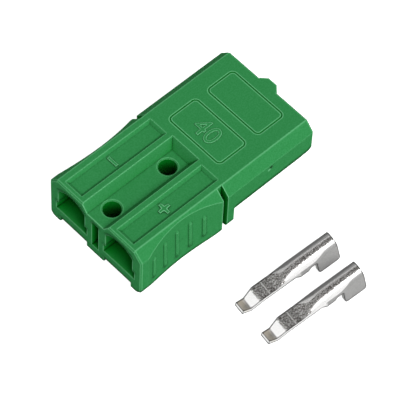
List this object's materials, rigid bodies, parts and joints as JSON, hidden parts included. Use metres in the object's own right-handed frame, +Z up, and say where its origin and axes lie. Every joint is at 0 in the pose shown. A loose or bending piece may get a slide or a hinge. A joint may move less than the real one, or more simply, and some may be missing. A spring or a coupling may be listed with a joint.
{
  "type": "genderless power connector",
  "caption": "Two-pole genderless power connector: green moulded housing with hood and wire mouths, leaf springs inside, and its stamped crimp contacts lying beside it.",
  "frame": {"origin": "on the base plane, midway between the centres of the two mounting holes", "axes": "+X from the wire end to the mating end, +Y to the side of the pole marked minus, +Z up out of the top face"},
  "size_m": [0.0577, 0.0666, 0.0165],
  "materials": {
    "green_plastic": "matte",
    "spring_steel": "satin",
    "tinned_copper": "bright"
  },
  "bodies": {
    "root": {"housing": "green_plastic", "contact_spring_left": "spring_steel", "contact_spring_right": "spring_steel", "contact_left": "tinned_copper", "contact_right": "tinned_copper"}
  },
  "joints": []
}
